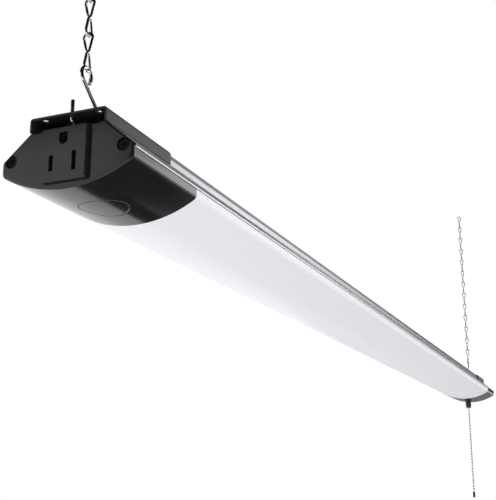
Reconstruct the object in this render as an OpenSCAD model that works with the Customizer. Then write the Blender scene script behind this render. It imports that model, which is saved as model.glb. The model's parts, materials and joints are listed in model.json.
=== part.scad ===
// Hanging shop light with a front outlet, a pull switch and two chains.
// X runs across the light, Y along it, Z up. Sizes are in millimetres.
// Modules draw the light with its near face at Y = 0 and its deck at Z = 0;
// placed() then moves it so that the origin lies midway between the two
// points from which the chains hang.

/* [Body] */
// Length over the two end caps
length = 1200; // [700:10:1500]
// Width across the sides
body_w = 73.2; // [70:0.2:80]
// Height of an end cap, deck to underside
cap_h = 30.8; // [29:0.1:36]
// Radius of the curved underside
belly_r = 69.1; // [62:0.1:90]
// Width of the flat deck on top
deck_w = 42.4; // [41:0.2:44]
// Drop from the deck to the corner where shoulder and side would meet
shoulder_drop = 13.2; // [12:0.1:14]
// Radius of the corner between shoulder and side
corner_r = 2.8; // [1.5:0.1:3.5]

/* [Housing extrusion] */
// Wall of the shoulders, deck and skirts
housing_t = 1.0; // [0.8:0.1:1.2]
// Depth of the skirt's lower edge under the deck
skirt_z = 14.8; // [14.5:0.1:15.5]
// Width of the lip inside a skirt
lip_w = 0.8; // [0.7:0.05:0.9]
// Height of that lip
lip_h = 0.5; // [0.4:0.05:0.6]
// Thickness of the web that carries the boards
web_t = 1.0; // [0.8:0.1:1.2]
// Distance of a screw port from the side
port_in = 5.4; // [5.2:0.1:6]
// Distance of a screw port from the shoulder
port_deep = 3.67; // [3.6:0.01:3.8]
// Bore of a screw port
port_d = 3.0; // [2.6:0.1:3.2]
// Wall round a screw port
port_wall = 0.95; // [0.8:0.05:1]
// Width of the notches in the web, over the outlet and the switch
notch_w = 32; // [30:1:36]

/* [Hanging rail] */
// Distance of the rail's end from the light's face
rail_start = 14; // [12:1:20]
// Width over the rail's walls
rail_w = 40.6; // [38:0.2:41]
// Height of the rail
rail_h = 6.1; // [5.6:0.1:7]
// Thickness of the rail's floor
rail_floor_t = 1.0; // [0.8:0.1:1.2]
// Thickness of the rail's walls
rail_wall_t = 1.2; // [1:0.1:1.5]
// Width of the lip inside each wall
rail_lip_w = 2.1; // [1.5:0.1:3]
// Thickness of that lip
rail_lip_t = 1.0; // [0.8:0.1:1.2]
// Height of the step outside the wall
rail_step_z = 3.9; // [3:0.1:4.5]
// Depth of that step
rail_step = 0.25; // [0.1:0.05:0.4]
// Distance of the first rivet from the light's face
rivet_start = 110; // [90:5:140]
// Number of rivets that hold the rail
rivet_count = 6; // [4:1:10]
// Diameter of a rivet's shank
rivet_d = 3.2; // [2.4:0.1:4]
// Diameter of a rivet's head
rivet_head_d = 6; // [5:0.1:8]
// Height of a rivet's head
rivet_head_h = 0.8; // [0.6:0.1:1]
// Length and extra width of a rivet's upset end under the deck
rivet_tail = 1.2; // [1:0.1:1.5]

/* [End caps] */
// Thickness of a cap's face
face_t = 2.5; // [2:0.1:3.5]
// Bevel of the face's rim
rim_r = 1.0; // [0.5:0.1:1.4]
// Length of a cap's skirt along the light
shroud_len = 66; // [60:1:80]
// Wall of a cap's skirt
shroud_t = 2.0; // [1.6:0.1:2.4]
// Length of the inner ledge that carries the lens end
ledge_len = 5; // [3:0.5:8]
// Wall of that ledge
ledge_t = 1.0; // [0.8:0.1:1.4]
// Diameter of the moulded ring on the underside
ring_d = 26; // [20:0.5:30]
// Width of the ring's groove
ring_w = 0.6; // [0.4:0.1:1]
// Depth of the ring's groove
ring_depth = 0.4; // [0.2:0.1:0.6]
// Distance of that ring from the face
ring_y = 35; // [30:1:46]
// Diameter of a cap screw's head
screw_head_d = 6.2; // [5.5:0.1:6.4]
// Height of a cap screw's head
screw_head_h = 1.2; // [1:0.1:1.3]
// Length of a cap screw under its head
screw_len = 14; // [10:1:20]
// Depth of the recess for a cap screw's head
recess_depth = 1.8; // [1.6:0.1:2]

/* [Lens] */
// Wall of the lens
lens_t = 1.2; // [1:0.1:1.6]
// Step from the cap's skirt in to the lens
lens_step = 0.3; // [0.2:0.05:0.5]
// Gap between the housing's skirts and the lens
seam = 0.4; // [0.2:0.05:0.6]
// Thickness of the snap tongue
tongue_t = 0.7; // [0.6:0.05:0.75]
// Height of the hook on the tongue
barb_h = 0.7; // [0.5:0.05:0.8]
// Depth of that hook
barb_w = 0.4; // [0.3:0.05:0.45]
// Gap at the end of the lens
lens_gap = 0.3; // [0.2:0.05:0.6]

/* [Brackets] */
// Length of a bracket along the light
bracket_len = 65; // [60:1:80]
// Sheet thickness
bracket_t = 1.0; // [0.8:0.1:1.2]
// Radius of the bend outside
bracket_bend_r = 1.6; // [1.3:0.1:2]
// Corner cut off at the bracket's rear end
bracket_cut = 1.6; // [1:0.1:3]
// Distance between the two small holes in front
hole_pitch = 30; // [24:0.5:32]
// Diameter of those holes
hole_d = 3.5; // [3:0.1:4]
// Distance of the front holes from the bracket's edge
hole_y = 3.6; // [3.2:0.1:5]
// Diameter of the hole for the hook's end
stub_hole_d = 2.7; // [2.4:0.1:3.2]
// Width of the slot for the hook's shaft
slot_w = 2.6; // [2.4:0.1:3.4]
// Length of that slot
slot_len = 7; // [6:0.5:10]
// Place of the clamp screw along the bracket
clamp_y = 53; // [50:1:56]
// Diameter of the clamp screw
clamp_d = 4; // [3:0.5:5]
// Diameter of the clamp screw's head
clamp_head_d = 8; // [7:0.5:9]
// Height of the clamp screw's head
clamp_head_h = 2.4; // [2:0.1:3]
// Length of the clamp nut along the rail
nut_len = 14; // [10:1:18]
// Thickness of the clamp nut
nut_t = 1.8; // [1.4:0.1:2]

/* [Hooks and chains] */
// Wire of a hook
hook_d = 2.0; // [1.8:0.1:2.2]
// Inner radius of the bend under the front hole
front_bend_r = 3.0; // [2.8:0.1:3.2]
// Inner radius of the rear hairpin
rear_bend_r = 1.8; // [1.7:0.1:2]
// Height of the hook's free end over the deck
stub_top = 15.2; // [12:0.2:18]
// Inner radius of the hook's eye
eye_r = 3.2; // [3:0.1:3.6]
// Height of the eye's centre over the deck
eye_z = 32.8; // [30:0.2:38]
// Distance of the eye from the light's face
eye_y = 14; // [12:0.5:16]
// Slope of the hook's shaft
shaft_slope = 40; // [38:0.5:44]
// Wire of a chain link
link_d = 1.4; // [1.2:0.1:1.6]
// Outer width of a link's loop
loop_w = 6.5; // [6:0.1:7.2]
// Height of the wrap round a link's neck
wrap_h = 1.2; // [1:0.1:1.6]
// Distance from one link to the next
link_pitch = 19.5; // [18:0.5:22]
// Links in each chain
link_count = 13; // [6:1:20]

/* [Outlet] */
// Width of the outlet's face
outlet_w = 26.4; // [25:0.1:28]
// Height of the outlet's face
outlet_h = 27.2; // [26:0.1:27.5]
// Height by which the outlet's face stands out
outlet_t = 2.5; // [2:0.1:3.5]
// Bevel round the outlet's face
outlet_bevel = 0.8; // [0.4:0.1:1]
// Corner radius of the outlet's face
outlet_corner_r = 1.6; // [1:0.1:2.5]
// Depth of the outlet's face under the deck
outlet_top = 0.3; // [0.2:0.1:1]
// Width of the outlet's body
outlet_body_w = 21; // [20.6:0.2:22]
// Height of the outlet's body
outlet_body_h = 22.4; // [22:0.2:23]
// Depth of the body's top under the deck
outlet_body_z = 2.6; // [2.2:0.1:3]
// Wall in front of the contacts
outlet_wall = 1.4; // [1.2:0.1:1.8]
// Width of the pocket for a contact
pocket_w = 5.2; // [5:0.1:5.6]
// Thickness of a contact's sheet
contact_t = 0.6; // [0.5:0.1:0.8]
// Length of a contact's tail behind the body
tail_len = 4; // [3:0.5:5]
// Depth of the outlet behind the cap's face
outlet_depth = 24; // [22:0.5:28]
// Distance between the two blade slots
blade_pitch = 12.7; // [12.7:0.1:12.8]
// Width of a blade slot
blade_slot_w = 2.3; // [2:0.1:2.4]
// Height of the longer slot
long_slot_h = 9.6; // [9:0.1:10]
// Height of the shorter slot
short_slot_h = 7.8; // [7:0.1:8.4]
// Depth of the slots' middle under the deck
slot_z = 18.4; // [18:0.1:18.8]
// Rise from the slots to the ground hole
ground_rise = 11.9; // [11.7:0.1:12]
// Width of the ground hole
ground_w = 4.8; // [4.7:0.1:5]
// Height of the ground hole
ground_h = 6.0; // [5.8:0.1:6.2]

/* [Pull switch] */
// Distance of the pull switch from the far face
switch_y = 40; // [36:1:44]
// Width of the switch's housing
switch_w = 22; // [20:1:24]
// Depth of its top under the deck
switch_top = 4; // [3:0.5:5]
// Diameter of the nozzle's thread
nozzle_d = 6.4; // [6:0.1:7]
// Bore of the nozzle
nozzle_bore = 4.2; // [3.8:0.1:4.4]
// Diameter of the nozzle's mouth and nut
mouth_d = 9.2; // [8.6:0.1:10]
// Length of the nozzle's flared mouth
nozzle_lip = 2.4; // [2:0.1:3]
// Gap between the nozzle's nut and its mouth
nut_gap = 0.2; // [0.1:0.1:1]
// Length of the nozzle below the underside
nozzle_len = 12.4; // [10:0.2:16]
// Travel of the pull switch
pull_travel = 8; // [6:0.5:9]
// Diameter of the plunger's head
plunger_d = 8.4; // [7:0.1:8.8]
// Height of the plunger's head
plunger_h = 2.4; // [2:0.1:3]
// Floor of the switch's housing under that head
switch_floor = 4; // [3.5:0.1:5]
// Depth of the nozzle's thread in that floor
nozzle_seat = 2.6; // [2:0.1:2.8]
// Diameter of a bead
bead_d = 3.2; // [3:0.1:3.4]
// Distance from bead to bead
bead_pitch = 4.5; // [4.3:0.1:5]
// Beads in the pull chain
bead_count = 29; // [10:1:40]
// Wire between the beads
bead_wire_d = 0.9; // [0.8:0.05:1]
// Length of the end piece
fob_len = 9; // [7:0.5:12]
// Diameter of the end piece
fob_d = 3.4; // [3.2:0.1:5]

/* [Lamp and driver] */
// Width of an LED board
board_w = 24; // [20:1:27]
// Thickness of a circuit board
board_t = 1.0; // [0.8:0.1:1.6]
// Gap at the ends of the boards
board_gap = 1; // [0.6:0.1:1.5]
// LEDs in one row of one board
led_count = 16; // [8:1:30]
// Distance between the two rows of LEDs
led_row_pitch = 12; // [8:1:14]
// Width of an LED
led_w = 2.8; // [2:0.1:3.5]
// Length of an LED
led_len = 3.5; // [2.8:0.1:5]
// Height of an LED
led_h = 0.8; // [0.6:0.1:1.2]
// Length of the driver's board
driver_len = 180; // [170:5:220]
// Width of the driver's board
driver_w = 34; // [32:1:36]
// Sheet of the driver's tray
tray_t = 1; // [0.8:0.1:1.2]
// Height of the posts under the board
post_h = 1; // [0.8:0.1:1.2]
// Diameter of those posts
post_d = 5; // [4:0.5:6]
// Distance of a post from the board's edges
post_in = 4; // [3:0.5:5]
// Transformer: place along the board
transformer_y = 70; // [60:5:80]
// Width of its core
transformer_w = 18; // [14:1:20]
// Length of its core
transformer_len = 20; // [16:1:24]
// Height of its core
transformer_h = 5.6; // [5:0.1:6]
// Capacitors: distance of the two front ones from the middle
can_x = 8; // [6:0.5:10]
// Place of the front ones along the board
can_y = 24; // [16:1:34]
// Place of the rear one along the board
rear_can_y = 130; // [125:1:150]
// Diameter of a capacitor
can_d = 6; // [5:0.5:6]
// Length of a capacitor
can_len = 18; // [12:1:20]
// Choke: place along the board
choke_y = 112; // [105:1:116]
// Diameter of the choke's wound ring
choke_ring_d = 5; // [4:0.5:5.5]
// Radius of the ring's middle
choke_r = 4.5; // [4:0.1:6]
// Terminal block: distance behind the driver
terminal_gap = 20; // [15:1:40]
// Width of the terminal block
terminal_w = 24; // [22:1:28]
// Length of the terminal block
terminal_len = 12; // [10:1:16]
// Height of the terminal block
terminal_h = 8; // [7:0.5:9]
// Distance between two of its ways
terminal_pitch = 8; // [7:0.5:8]
// Bore of one way
terminal_d = 3; // [2.6:0.1:3.4]
// Diameter of an insulated wire
wire_d = 2; // [1.6:0.1:2.1]
// Gap between the driver and the first wire
lane_gap = 1.5; // [1:0.1:2]
// Distance by which one wire's bend leads the next one's
wire_stagger = 5; // [4:0.5:6]

/* [Supply] */
// Diameter of the round hole in the far cap
gland_hole_d = 13; // [12:0.5:14]
// Bore of the supply bushing
gland_bore = 7.4; // [6:0.2:8]
// Depth of the bushing's middle under the deck
gland_z = 14; // [12:0.5:16]

/* [Clearances] */
// Clearance between parts that are slid together
slide_fit = 0.2; // [0.1:0.05:0.25]
// Gap between one link's wire and the next
link_gap = 0.15; // [0.1:0.05:0.3]
// Gap between a hook and its seat
seat_gap = 0.3; // [0.2:0.05:0.4]
// Clearance of a screw in its bore
thread_fit = 0.05; // [0.02:0.01:0.1]

/* [Hidden] */

$fn = 96;
half_w = body_w / 2;
deck_half = deck_w / 2;
shoulder_angle = atan(shoulder_drop / (half_w - deck_half));
belly_z = belly_r - cap_h;
fillet_steps = 6;
joint_short = 0.05;
skirt_in = half_w - housing_t;
lip_in = skirt_in - lip_w;
tongue_out = lip_in - slide_fit;
port_r = port_d / 2 + port_wall;
cover_top = skirt_z + seam;
port_x = half_w - port_in;
port_z = (port_x - deck_half) * tan(shoulder_angle) + port_deep / cos(shoulder_angle);
web_z = port_z - web_t / 2;
rail_half = rail_w / 2;
bracket_in = rail_half + slide_fit;
bracket_out = bracket_in + bracket_t;
plate_under = rail_h + slide_fit;
plate_top = plate_under + bracket_t;
body_y0 = face_t + 0.1;
body_y1 = length - body_y0;
lens_y0 = shroud_len + lens_gap;
lens_y1 = length - lens_y0;
web_under = web_z + web_t;

// Hook: centres of its bends, each worked out from the hole it seats in
front_r = front_bend_r + hook_d / 2;
rear_r = rear_bend_r + hook_d / 2;
front_reach = front_bend_r - seat_gap;
front_side = front_r - stub_hole_d / 2;
front_y = hole_y + front_r;
front_z = plate_under + sqrt(max(front_reach^2 - front_side^2, 0));
run_z = front_z - front_r;
eye_wire_r = eye_r + hook_d / 2;
shaft_dir = [-cos(shaft_slope), sin(shaft_slope)];
shaft_out = [sin(shaft_slope), cos(shaft_slope)];
eye_tangent = [eye_y, eye_z] - eye_wire_r * shaft_out;
rear_z = run_z + rear_r;
rear_tangent_z = rear_z + rear_r * shaft_out[1];
rear_tangent_y = eye_tangent[0] - (eye_tangent[1] - rear_tangent_z) / shaft_dir[1] * shaft_dir[0];
rear_y = rear_tangent_y - rear_r * shaft_out[0];
rear_reach = rear_bend_r - seat_gap;
slot_y = rear_y + sqrt(max(rear_reach^2 - (plate_top - rear_z)^2, 0));

// Chains
loop_r = (loop_w - link_d) / 2;
link_len = link_pitch + link_d + link_gap;
eye_top_z = eye_z + eye_wire_r;
last_link_z = eye_top_z - hook_d / 2 - link_d / 2 - link_gap;
hang_z = last_link_z + (link_count - 1) * link_pitch + link_len;

// Pull switch
mouth_z = cap_h + nozzle_len;
pivot_z = mouth_z + bead_d / 2 + 0.4;
bead_in = bead_d / 2 - 0.3;
knob_r = bead_in - slide_fit;
bead_open = 55;
far_switch_y = length - switch_y;
switch_base = sqrt((belly_r - shroud_t)^2 - (switch_w / 2)^2) - belly_z - slide_fit;
nut_h = nozzle_len - slide_fit - nozzle_lip - nut_gap;

chain_bottom = pivot_z + (bead_count - 1) * bead_pitch;
pull_end_top = chain_bottom + bead_d / 2 + fob_len / 4;

// Driver, terminals and wires
tray_rim = 1;
driver_y = length / 2 - driver_len / 2;
driver_z = web_z - tray_t - post_h;
terminal_y = driver_y + driver_len + terminal_gap;
terminal_z = web_z - terminal_h * 3 / 8;
lay_z = web_z - wire_d / 2 - thread_fit;

// Points of a right half, from the top down, and the same on the left
function mirrored(points) = concat(
    [for (i = [len(points) - 1:-1:0]) points[i]],
    [for (p = points) [-p[0], p[1]]]);

// Upper outline of the light, moved in by the distance inset
function outline(inset) =
    let (
        r = max(corner_r - inset, 0),
        cx = half_w - inset - r,
        cz = (sin(shoulder_angle) * (deck_half - cx) - inset - r) / cos(shoulder_angle),
        top_x = deck_half - inset * (1 - cos(shoulder_angle)) / sin(shoulder_angle),
        arc = [for (i = [0:fillet_steps])
            let (t = (90 - shoulder_angle) * (1 - i / fillet_steps))
            [cx + r * cos(t), cz + r * sin(t)]]
    )
    mirrored(concat([[top_x, -inset]], r > 0 ? arc : [[cx, cz]],
        [[half_w - inset, -cap_h - 5]]));

module placed() {
    translate([0, -length / 2, -hang_z]) children();
}

// The same thing at the far end, turned half a turn
module far_end() {
    translate([0, length, 0]) rotate([0, 0, 180]) children();
}

// A flat shape in X and Z drawn out along Y
module along(y0, y1) {
    translate([0, y1, 0]) rotate([90, 0, 0]) linear_extrude(y1 - y0) children();
}

// A flat shape drawn out along Y, with the edge of its front face cut off at 45 degrees
module bevelled(points, y0, y1, c) {
    n = len(points);
    difference() {
        along(y0, y1) polygon(points);
        for (i = [0:n - 1]) {
            v = points[i] - points[(i + 1) % n];
            translate([points[i][0], y0 + c, points[i][1]])
                rotate([0, -atan2(v[1], v[0]), 0]) rotate([45, 0, 0])
                    translate([-body_w, -body_w, 0]) cube([2 * body_w, 2 * body_w, body_w]);
        }
    }
}

module both_sides() {
    children();
    mirror([1, 0, 0]) children();
}

// A round rod from p to q, a little short at the ends that a joint ball covers
module rod(p, q, d, short_q = 0, short_p = 0) {
    v = q - p;
    flat = norm([v[0], v[1]]);
    translate(p)
        rotate([0, atan2(flat, v[2]), flat > 0 ? atan2(v[1], v[0]) : 0])
            translate([0, 0, short_p * d])
                cylinder(h = norm(v) - (short_p + short_q) * d, d = d);
}

// Ball that joins a rod to a bend
module joint_ball(p, d) {
    translate(p) sphere(d = 1.02 * d);
}

// A wire through points, with a ball at each corner
module wire(points, d) {
    $fn = 24;
    last = len(points) - 1;
    for (i = [1:last])
        rod(points[i - 1], points[i], d, i < last ? joint_short : 0, i > 1 ? joint_short : 0);
    for (i = [1:last - 1]) joint_ball(points[i], d);
}

// Part of a ring of wire in the Y-Z plane, from angle a over the angle sweep
module bend(centre, r, a, sweep, d) {
    translate([0, centre[0], centre[1]]) rotate([90, 0, 90]) rotate([0, 0, a])
        rotate_extrude(angle = sweep) translate([r, 0]) circle(d = d);
}

module section(inset) {
    intersection() {
        polygon(outline(inset));
        translate([0, belly_z]) circle(r = belly_r - inset);
    }
}

// Side walls and curved bottom below the housing, with the snap tongues
module cover_profile(inset, wall) {
    difference() {
        intersection() {
            section(inset);
            translate([-body_w, -cap_h - 5]) square([2 * body_w, cap_h + 5 - cover_top]);
        }
        section(inset + wall);
    }
    both_sides() {
        translate([tongue_out - tongue_t, -cover_top - wall])
            square([half_w - inset - wall / 2 - tongue_out + tongue_t, wall]);
        translate([tongue_out - tongue_t, -cover_top - wall / 2])
            square([tongue_t, cover_top + wall / 2 - skirt_z + lip_h + slide_fit + barb_h]);
        translate([tongue_out - tongue_t / 2, -skirt_z + lip_h + slide_fit])
            square([barb_w + tongue_t / 2, barb_h]);
    }
}

module housing_profile() {
    difference() {
        union() {
            intersection() {
                difference() {
                    polygon(outline(0));
                    polygon(outline(housing_t));
                }
                translate([-body_w, -skirt_z]) square([2 * body_w, skirt_z]);
            }
            translate([-port_x, -web_under]) square([2 * port_x, web_t]);
            both_sides() {
                translate([lip_in, -skirt_z]) square([lip_w + housing_t / 2, lip_h]);
                translate([port_x, -port_z]) circle(r = port_r);
                translate([port_x, -port_z]) rotate(-shoulder_angle)
                    translate([-port_wall, 0]) square([2 * port_wall, port_r + housing_t / 2]);
            }
        }
        both_sides() translate([port_x, -port_z]) circle(d = port_d);
    }
}

module housing() {
    color("gainsboro") placed() difference() {
        along(body_y0, body_y1) housing_profile();
        for (y = [0, length - shroud_len])
            translate([-notch_w / 2, y, -web_under - 1])
                cube([notch_w, shroud_len, web_t + 2]);
        rivet_places() cylinder(h = 3 * housing_t, d = rivet_d, center = true);
    }
}

module rivet_places() {
    step = (length - 2 * rivet_start) / (rivet_count - 1);
    for (i = [0:rivet_count - 1]) translate([0, rivet_start + i * step, 0]) children();
}

module hanging_rail() {
    color("darkgray") placed() difference() {
        along(rail_start, length - rail_start) union() {
            translate([-rail_half, 0]) square([rail_w, rail_floor_t]);
            both_sides() {
                translate([rail_half - rail_wall_t, 0]) square([rail_wall_t, rail_step_z]);
                translate([rail_half - rail_wall_t, 0])
                    square([rail_wall_t - rail_step, rail_h]);
                translate([rail_half - rail_wall_t - rail_lip_w, rail_h - rail_lip_t])
                    square([rail_lip_w + rail_wall_t / 2, rail_lip_t]);
            }
        }
        rivet_places() cylinder(h = 3 * rail_floor_t, d = rivet_d, center = true);
    }
}

module rail_rivets() {
    color("silver") placed() rivet_places() union() {
        translate([0, 0, -housing_t - rivet_tail / 2])
            cylinder(h = rail_floor_t + housing_t + rivet_tail, d = rivet_d - 2 * thread_fit);
        translate([0, 0, rail_floor_t])
            cylinder(h = rivet_head_h, d1 = rivet_head_d, d2 = rivet_d);
        translate([0, 0, -housing_t - rivet_tail])
            cylinder(h = rivet_tail, d = rivet_d + rivet_tail);
    }
}

module diffuser() {
    color("white") placed() along(lens_y0, lens_y1) cover_profile(lens_step, lens_t);
}

// One end cap without its own openings
module cap_shell() {
    union() {
        // face, with the bevel of its rim carried round the belly as a cone
        intersection() {
            bevelled(outline(0), 0, face_t, rim_r);
            translate([0, 0, belly_z]) rotate([-90, 0, 0]) union() {
                cylinder(h = rim_r, r1 = belly_r - rim_r, r2 = belly_r);
                translate([0, 0, rim_r]) cylinder(h = face_t, r = belly_r);
            }
        }
        along(face_t - 0.1, shroud_len) cover_profile(0, shroud_t);
        along(shroud_len - ledge_len, shroud_len + ledge_len) difference() {
            intersection() {
                section(lens_step + lens_t + slide_fit);
                translate([-body_w, -cap_h]) square([2 * body_w, cap_h - cover_top - 2 * lens_t]);
            }
            section(lens_step + lens_t + slide_fit + ledge_t);
        }
    }
}

module cap_screw_places() {
    both_sides() translate([port_x, 0, -port_z]) rotate([-90, 0, 0]) children();
}

module cap_cuts() {
    cap_screw_places() {
        translate([0, 0, -1]) cylinder(h = recess_depth + 1, d = screw_head_d + 2 * slide_fit);
        cylinder(h = 3 * face_t, d = port_d + 0.8, center = true);
    }
    // moulded ring on the underside
    difference() {
        translate([0, ring_y, -cap_h - 1]) difference() {
            cylinder(h = 6, d = ring_d);
            translate([0, 0, -1]) cylinder(h = 8, d = ring_d - 2 * ring_w);
        }
        translate([0, 0, belly_z]) rotate([-90, 0, 0])
            cylinder(h = shroud_len, r = belly_r - ring_depth);
    }
}

module near_end_cap() {
    color("dimgray") placed() difference() {
        cap_shell();
        cap_cuts();
        translate([-outlet_body_w / 2 - slide_fit, -1, -outlet_body_z - outlet_body_h - slide_fit])
            cube([outlet_body_w + 2 * slide_fit, face_t + 2, outlet_body_h + 2 * slide_fit]);
    }
}

module far_end_cap() {
    color("dimgray") placed() far_end() difference() {
        cap_shell();
        cap_cuts();
        translate([0, 0, -gland_z]) rotate([-90, 0, 0])
            cylinder(h = 4 * face_t, d = gland_hole_d, center = true);
        translate([0, switch_y, -cap_h - 1])
            cylinder(h = shroud_t + 3, d = nozzle_d + 2 * slide_fit);
    }
}

// Cross for a driver, cut down from Z = 0 into a head that rises along +Z
module cross_recess(span, depth) {
    arm = span / 4;
    for (a = [0, 90]) rotate(a)
        translate([-span / 2, -arm / 2, -1]) cube([span, arm, depth + 1]);
}

module cap_screw() {
    head_bevel = 0.4;
    translate([0, 0, recess_depth - screw_head_h]) difference() {
        union() {
            cylinder(h = head_bevel, d1 = screw_head_d - 2 * head_bevel, d2 = screw_head_d);
            translate([0, 0, head_bevel])
                cylinder(h = screw_head_h - head_bevel, d = screw_head_d);
            cylinder(h = screw_head_h + screw_len, d = port_d - 2 * thread_fit);
        }
        cross_recess(screw_head_d / 2, screw_head_h - head_bevel);
    }
}

module cap_screws() {
    color("black") placed() {
        cap_screw_places() cap_screw();
        far_end() cap_screw_places() cap_screw();
    }
}

module bracket() {
    bend_in = bracket_bend_r - bracket_t;
    function corner(x, z, r) = [for (i = [0:fillet_steps])
        let (t = 90 * i / fillet_steps) [x - r + r * sin(t), z - r + r * cos(t)]];
    foot_z = slide_fit / 2;
    outside = concat(corner(bracket_out, plate_top, bracket_bend_r), [[bracket_out, foot_z]]);
    inside = concat(corner(bracket_in, plate_under, bend_in), [[bracket_in, foot_z - 1]]);
    difference() {
        along(0, bracket_len) difference() {
            polygon(mirrored(outside));
            polygon(mirrored(inside));
        }
        both_sides() translate([hole_pitch / 2, hole_y, plate_under - 1])
            cylinder(h = bracket_t + 2, d = hole_d);
        translate([0, hole_y, plate_under - 1]) cylinder(h = bracket_t + 2, d = stub_hole_d);
        translate([-slot_w / 2, slot_y, plate_under - 1])
            cube([slot_w, slot_len, bracket_t + 2]);
        translate([0, clamp_y, plate_under - 1])
            cylinder(h = bracket_t + 2, d = clamp_d + 2 * slide_fit);
        // rear corner cut off at 45 degrees
        translate([0, bracket_len - bracket_cut / 2, plate_top - bracket_cut / 2])
            rotate([-45, 0, 0]) translate([-body_w, -plate_top, 0])
                cube([2 * body_w, 2 * plate_top, plate_top]);
    }
}

module near_bracket() { color("dimgray") placed() bracket(); }

module far_bracket() { color("dimgray") placed() far_end() bracket(); }

module bracket_screws() {
    head_bevel = 0.8;
    below = rail_lip_t + nut_t + slide_fit + 1;
    module screw() {
        translate([0, clamp_y, plate_top]) difference() {
            union() {
                cylinder(h = clamp_head_h - head_bevel, d = clamp_head_d);
                translate([0, 0, clamp_head_h - head_bevel])
                    cylinder(h = head_bevel, d1 = clamp_head_d, d2 = clamp_head_d - 2 * head_bevel);
                translate([0, 0, -bracket_t - below])
                    cylinder(h = bracket_t + below + head_bevel, d = clamp_d - 2 * thread_fit);
            }
            translate([0, 0, clamp_head_h]) rotate([180, 0, 0])
                cross_recess(clamp_head_d / 2, clamp_head_h / 2);
        }
    }
    color("silver") placed() {
        screw();
        far_end() screw();
    }
}

module bracket_nuts() {
    nut_w = rail_w - 2 * rail_wall_t - 2 * slide_fit;
    module nut() {
        translate([0, clamp_y, rail_h - rail_lip_t - nut_t]) difference() {
            translate([-nut_w / 2, -nut_len / 2, 0]) cube([nut_w, nut_len, nut_t]);
            translate([0, 0, -1]) cylinder(h = nut_t + 2, d = clamp_d);
        }
    }
    color("silver") placed() {
        nut();
        far_end() nut();
    }
}

module hook() {
    tail_angle = -48;
    free_start = [0, hole_y, front_z];
    run_start = [0, front_y, run_z];
    run_end = [0, rear_y, run_z];
    shaft_start = [0, rear_tangent_y, rear_tangent_z];
    shaft_end = [0, eye_tangent[0], eye_tangent[1]];
    run_middle = (run_start + run_end) / 2;
    shaft_middle = (shaft_start + shaft_end) / 2;
    // free end, front bend and lower run
    rod([0, hole_y, stub_top], free_start, hook_d, joint_short);
    bend([front_y, front_z], front_r, 180, 90, hook_d);
    rod(run_middle, run_start, hook_d, joint_short);
    rod(run_middle, run_end, hook_d, joint_short);
    // hairpin, shaft and open eye
    bend([rear_y, rear_z], rear_r, -90, 180 - shaft_slope, hook_d);
    rod(shaft_middle, shaft_start, hook_d, joint_short);
    rod(shaft_middle, shaft_end, hook_d, joint_short);
    bend([eye_y, eye_z], eye_wire_r, tail_angle, 270 - shaft_slope - tail_angle, hook_d);
    for (p = [free_start, run_start, run_end, shaft_start, shaft_end, run_middle, shaft_middle])
        joint_ball(p, hook_d);
}

module near_hook() { color("silver") placed() hook(); }

module far_hook() { color("silver") placed() far_end() hook(); }

// One loop of a link: two legs from the wrapped neck to a round bend, whose
// wire has its centre at height h
module link_loop(h) {
    neck = 0.55 * link_d;
    rise = h - loop_r;
    reach = sqrt(neck^2 + rise^2);
    lean = atan2(rise, -neck) - asin(loop_r / reach);
    run = sqrt(reach^2 - loop_r^2);
    start = wrap_h / 4;
    for (s = [-1, 1]) {
        tangent = [0, s * (neck + run * cos(lean)), run * sin(lean)];
        rod([0, s * (neck + start * cos(lean)), start * sin(lean)], tangent, link_d, joint_short);
        joint_ball(tangent, link_d);
    }
    bend([0, rise], loop_r, lean - 90, 360 - 2 * lean, link_d);
}

// A link with its lower wire's centre at Z = 0; its loops stand at right angles
module chain_link() {
    translate([0, 0, link_len / 2]) {
        link_loop(link_len / 2);
        rotate([180, 0, 90]) link_loop(link_len / 2);
        cylinder(h = wrap_h, d = 2.3 * link_d, center = true);
    }
}

// Links from number first to last, counted up from the hook
module links(first, last) {
    for (i = [first:last])
        translate([0, eye_y, last_link_z + i * link_pitch]) chain_link();
}

module near_links(first, last) { color("silver") placed() links(first, last); }

module far_links(first, last) { color("silver") placed() far_end() links(first, last); }

module near_top_link() { near_links(link_count - 1, link_count - 1); }

module far_top_link() { far_links(link_count - 1, link_count - 1); }

module near_second_link() { near_links(link_count - 2, link_count - 2); }

module far_second_link() { far_links(link_count - 2, link_count - 2); }

module near_chain() { near_links(1, link_count - 3); }

module far_chain() { far_links(1, link_count - 3); }

module near_last_link() { near_links(0, 0); }

module far_last_link() { far_links(0, 0); }

module slot_cut(x, h, depth) {
    translate([x - blade_slot_w / 2, -outlet_t - 1, -slot_z - h / 2])
        cube([blade_slot_w, depth + 1, h]);
}

// A hole with a round lower end and a flat upper end
module ground_cut(w, h, depth) {
    translate([0, -outlet_t - 1, -slot_z + ground_rise - h / 2 + w / 2]) {
        rotate([-90, 0, 0]) cylinder(h = depth + 1, d = w);
        translate([-w / 2, 0, 0]) cube([w, depth + 1, h - w / 2]);
    }
}

module outlet_face() {
    r = outlet_corner_r;
    steps = 2;
    corners = [[1, -1, -90], [1, 1, 0], [-1, 1, 90], [-1, -1, 180]];
    edge = [for (k = corners, i = [0:steps])
        let (a = k[2] + 90 * i / steps)
        [k[0] * (outlet_w / 2 - r) + r * cos(a),
            k[1] * (outlet_h / 2 - r) - outlet_top - outlet_h / 2 + r * sin(a)]];
    color("dimgray") placed() difference() {
        bevelled(edge, -outlet_t, 0, outlet_bevel);
        slot_cut(-blade_pitch / 2, short_slot_h, 2 * outlet_t);
        slot_cut(blade_pitch / 2, long_slot_h, 2 * outlet_t);
        ground_cut(ground_w, ground_h, 2 * outlet_t);
    }
}

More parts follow.
